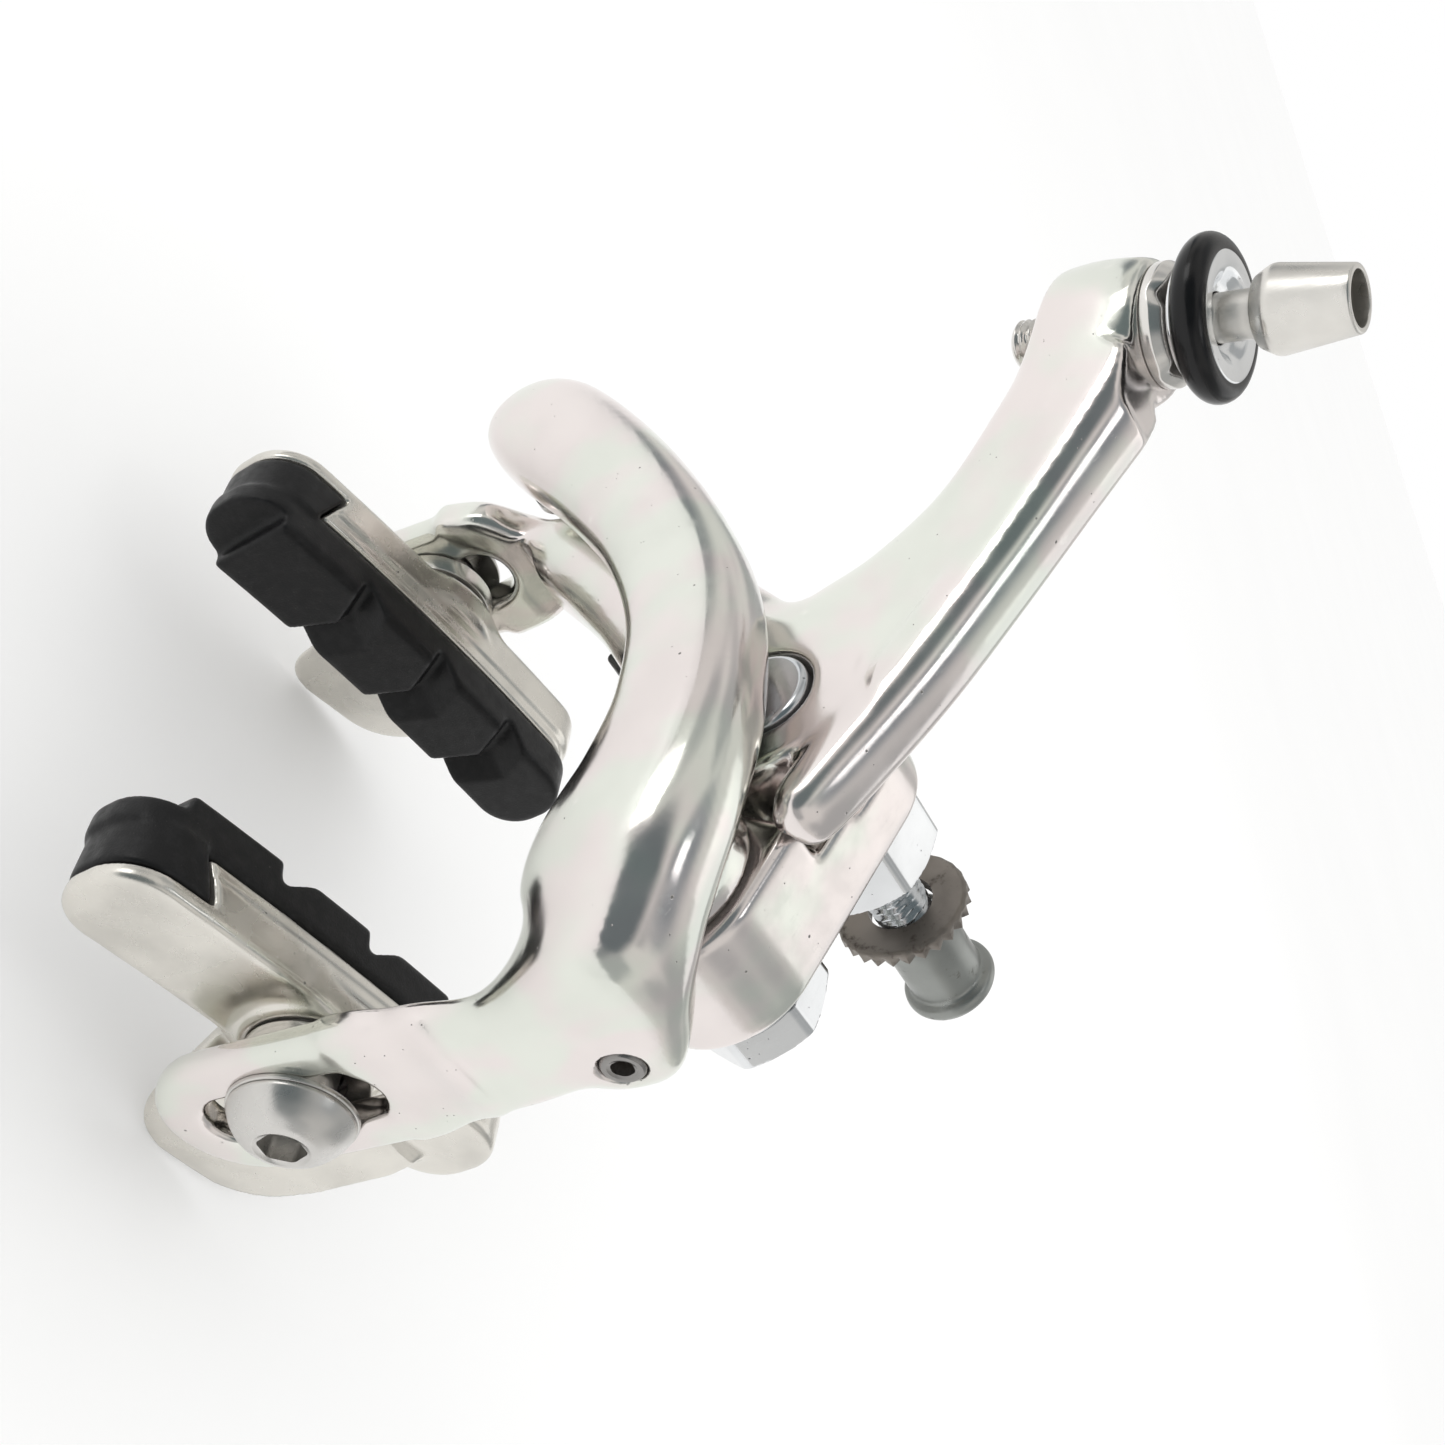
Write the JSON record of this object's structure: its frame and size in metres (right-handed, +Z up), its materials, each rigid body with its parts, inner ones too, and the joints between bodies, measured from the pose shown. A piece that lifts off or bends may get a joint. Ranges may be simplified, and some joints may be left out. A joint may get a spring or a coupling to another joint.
{
  "type": "dual-pivot rim brake caliper",
  "caption": "Dual-pivot side-pull road bicycle rim brake caliper, with two forged arms, a cable adjuster and pads in holders, bolted through a fork crown.",
  "frame": {"origin": "on the centre bolt's axis, on the rear face of the centre lock nut, which seats against the fork crown", "axes": "+Z up, +Y to the rear along the mounting stud, -Y to the front, -X is the cable side"},
  "size_m": [0.0842, 0.0714, 0.1231],
  "materials": {
    "polished_arm": "polished, faintly hazy, light scratches",
    "holder_alloy": "polished",
    "satin_alloy": "satin turned",
    "bolt_chrome": "polished, scratched",
    "nut_chrome": "bright, pitted and worn",
    "bright_steel": "turned, bright",
    "satin_bolt": "satin turned",
    "grey_steel": "dull grey plating",
    "brown_steel": "weathered dark brown",
    "dark_washer": "dark, grimy",
    "dark_screw": "dull",
    "spring_steel": "plain drawn wire",
    "bush_brass": "turned",
    "black_plastic": "matte",
    "black_rubber": "glossy",
    "pad_rubber": "satin, lightly worn"
  },
  "bodies": {
    "bridge": {"bridge": "polished_arm", "centre_bolt": "bolt_chrome", "centre_lock_nut": "nut_chrome", "pivot_bolt": "nut_chrome", "pivot_head_washer": "dark_washer", "centre_thrust_washer": "dark_washer", "pivot_thrust_washer": "dark_washer", "return_spring": "spring_steel", "serrated_washer": "brown_steel", "sleeve_nut": "grey_steel"},
    "y_arm": {"y_arm": "polished_arm", "centre_bush": "bush_brass", "spring_slider": "black_plastic", "detent_washer": "bright_steel"},
    "c_arm": {"c_arm": "polished_arm", "pivot_bush": "bush_brass", "cable_anchor_bolt": "bright_steel", "cable_anchor_washer": "bright_steel"},
    "centering_screw": {"centering_screw": "dark_screw"},
    "housing_stop": {"housing_stop": "satin_alloy"},
    "adjuster": {"adjuster_barrel": "bright_steel", "adjuster_knob": "bright_steel", "adjuster_ring": "black_rubber"},
    "right_pad_mount": {"right_pad_bolt": "satin_bolt", "right_head_washer": "bright_steel", "right_concave_washer": "satin_alloy"},
    "right_shoe": {"right_convex_washer": "satin_alloy", "right_pad_holder": "holder_alloy", "right_pad_insert": "pad_rubber"},
    "left_pad_mount": {"left_pad_bolt": "satin_bolt", "left_head_washer": "bright_steel", "left_concave_washer": "satin_alloy"},
    "left_shoe": {"left_convex_washer": "satin_alloy", "left_pad_holder": "holder_alloy", "left_pad_insert": "pad_rubber"}
  },
  "joints": [
    {"name": "y_arm_pivot", "type": "hinge", "parent": "bridge", "child": "y_arm", "pos_m": [0, -0.0201, 0], "axis": [0, -1, 0], "range_deg": [0, 9], "deforming": ["return_spring"]},
    {"name": "c_arm_pivot", "type": "hinge", "parent": "bridge", "child": "c_arm", "pos_m": [0.0165, -0.0259, -0.009], "axis": [0, 1, 0], "range_deg": [0, 11.25]},
    {"name": "centering_screw_turn", "type": "hinge", "parent": "c_arm", "child": "centering_screw", "pos_m": [0.0332, -0.0176, -0.0122], "axis": [-1, 0, 0], "range_deg": [-180, 180]},
    {"name": "adjuster_slide", "type": "slide", "parent": "y_arm", "child": "housing_stop", "axis": [0.342, 0, 0.9397], "range_m": [0, 0.006]},
    {"name": "adjuster_turn", "type": "hinge", "parent": "housing_stop", "child": "adjuster", "pos_m": [-0.0307, -0.026, 0.0445], "axis": [0.342, 0, 0.9397], "range_deg": [0, 2700]},
    {"name": "right_pad_height", "type": "slide", "parent": "c_arm", "child": "right_pad_mount", "axis": [0, 0, 1], "range_m": [-0.005, 0.005]},
    {"name": "right_pad_swivel", "type": "hinge", "parent": "right_pad_mount", "child": "right_shoe", "pos_m": [0.0226, -0.0208, -0.0435], "axis": [1, 0, 0], "range_deg": [-12, 12]},
    {"name": "left_pad_height", "type": "slide", "parent": "y_arm", "child": "left_pad_mount", "axis": [0, 0, 1], "range_m": [-0.005, 0.005]},
    {"name": "left_pad_swivel", "type": "hinge", "parent": "left_pad_mount", "child": "left_shoe", "pos_m": [-0.0246, -0.024, -0.0435], "axis": [1, 0, 0], "range_deg": [-12, 12]}
  ],
  "couplings": [
    {"joint": "c_arm_pivot", "follows": "y_arm_pivot", "ratio": 1.25},
    {"joint": "adjuster_turn", "follows": "adjuster_slide", "rad_per_m": 7853.2}
  ]
}
